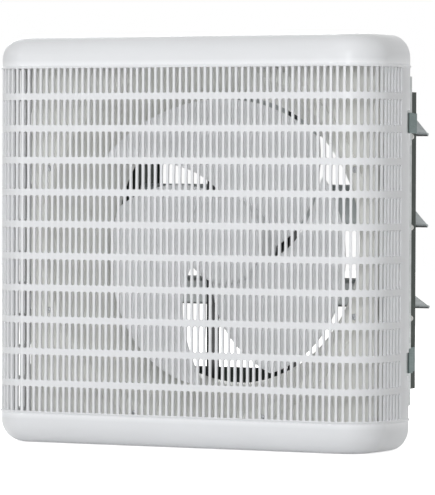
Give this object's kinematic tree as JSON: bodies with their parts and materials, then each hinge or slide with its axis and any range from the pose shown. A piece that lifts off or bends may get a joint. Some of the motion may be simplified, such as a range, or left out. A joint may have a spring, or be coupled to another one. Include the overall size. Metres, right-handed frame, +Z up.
{
  "type": "wall exhaust fan",
  "caption": "Through-wall exhaust fan: wrap-around lattice cover, bell mouth, sickle-blade wheel with its motor, square wall sleeve and a linked-vane shutter at the rear",
  "frame": {"origin": "centre of the wall screw pattern, on the fan's axis, in the plane of the wall face", "axes": "X runs right as seen from the room, Y runs from the room through the wall to the outside, Z is up"},
  "size_m": [0.4544, 0.2975, 0.43],
  "materials": {
    "cover_plastic": "satin",
    "body_paint": "satin",
    "zinc_sheet": "galvanised",
    "wheel_plastic": "satin",
    "motor_paint": "satin",
    "cast_aluminium": "cast",
    "core_steel": "laminated",
    "copper": "enamelled",
    "bright_steel": "plated",
    "bush_brass": "turned",
    "black_rubber": "matte",
    "grey_foam": "foam",
    "grey_plastic": "matte",
    "shutter_paint": "matte",
    "clip_steel": "satin",
    "vane_sheet": "satin",
    "white_nylon": "matte"
  },
  "bodies": {
    "housing": {"orifice_panel": "body_paint", "body_walls": "body_paint", "back_plate": "zinc_sheet", "bell_mouth": "body_paint", "bell_screws": "bright_steel", "sleeve_top": "zinc_sheet", "sleeve_bottom": "zinc_sheet", "sleeve_left": "zinc_sheet", "sleeve_right": "zinc_sheet", "foam_seal": "grey_foam", "motor_stays": "zinc_sheet", "stay_screws": "bright_steel", "rubber_mounts": "black_rubber", "motor_band": "zinc_sheet", "motor_can": "motor_paint", "motor_front_cap": "cast_aluminium", "motor_rear_cap": "cast_aluminium", "stator_core": "core_steel", "stator_winding": "copper", "front_bearing": "bright_steel", "rear_bearing": "bright_steel", "capacitor": "grey_plastic", "capacitor_strap": "zinc_sheet", "terminal_block": "grey_plastic", "terminal_cover": "grey_plastic", "cable_gland": "black_rubber", "frame_top": "shutter_paint", "frame_bottom": "shutter_paint", "frame_left": "shutter_paint", "frame_right": "shutter_paint", "frame_clips": "clip_steel", "frame_rivets": "white_nylon", "hinge_bushes": "white_nylon"},
    "front_cover": {"front_grille": "cover_plastic", "corner_grille_right": "cover_plastic", "corner_grille_left": "cover_plastic", "side_grille_right": "cover_plastic", "side_grille_left": "cover_plastic", "top_cap": "cover_plastic", "bottom_cap": "cover_plastic", "cover_latches": "cover_plastic"},
    "fan_rotor": {"motor_shaft": "bright_steel", "rotor_core": "core_steel", "fan_wheel": "wheel_plastic", "spinner_cap": "wheel_plastic", "hub_bush": "bush_brass", "wheel_nut": "bright_steel"},
    "vane_top_body": {"vane_top": "vane_sheet"},
    "vane_middle_body": {"vane_middle": "vane_sheet"},
    "vane_bottom_body": {"vane_bottom": "vane_sheet"},
    "tie_bar_body": {"tie_bar": "shutter_paint"}
  },
  "joints": [
    {"name": "cover_pull", "type": "slide", "parent": "housing", "child": "front_cover", "axis": [0, -1, 0], "range_m": [0, 0.15]},
    {"name": "wheel_spin", "type": "hinge", "parent": "housing", "child": "fan_rotor", "pos_m": [0, 0.03, 0], "axis": [0, 1, 0], "continuous": true},
    {"name": "vane_top_hinge", "type": "hinge", "parent": "housing", "child": "vane_top_body", "pos_m": [0, 0.12, 0.153], "axis": [1, 0, 0], "range_deg": [-62.5, 5.5]},
    {"name": "vane_middle_hinge", "type": "hinge", "parent": "housing", "child": "vane_middle_body", "pos_m": [0, 0.12, 0.0545], "axis": [1, 0, 0], "range_deg": [-62.5, 5.5]},
    {"name": "vane_bottom_hinge", "type": "hinge", "parent": "housing", "child": "vane_bottom_body", "pos_m": [0, 0.12, -0.044], "axis": [1, 0, 0], "range_deg": [-70.5, 6.2]},
    {"name": "tie_bar_pivot", "type": "hinge", "parent": "vane_top_body", "child": "tie_bar_body", "pos_m": [0, 0.11169, 0.13703], "axis": [1, 0, 0], "range_deg": [-5.5, 62.5]}
  ],
  "couplings": [
    {"joint": "vane_middle_hinge", "follows": "vane_top_hinge", "ratio": 1},
    {"joint": "vane_bottom_hinge", "follows": "vane_top_hinge", "ratio": 1.128},
    {"joint": "tie_bar_pivot", "follows": "vane_top_hinge", "ratio": -1}
  ]
}
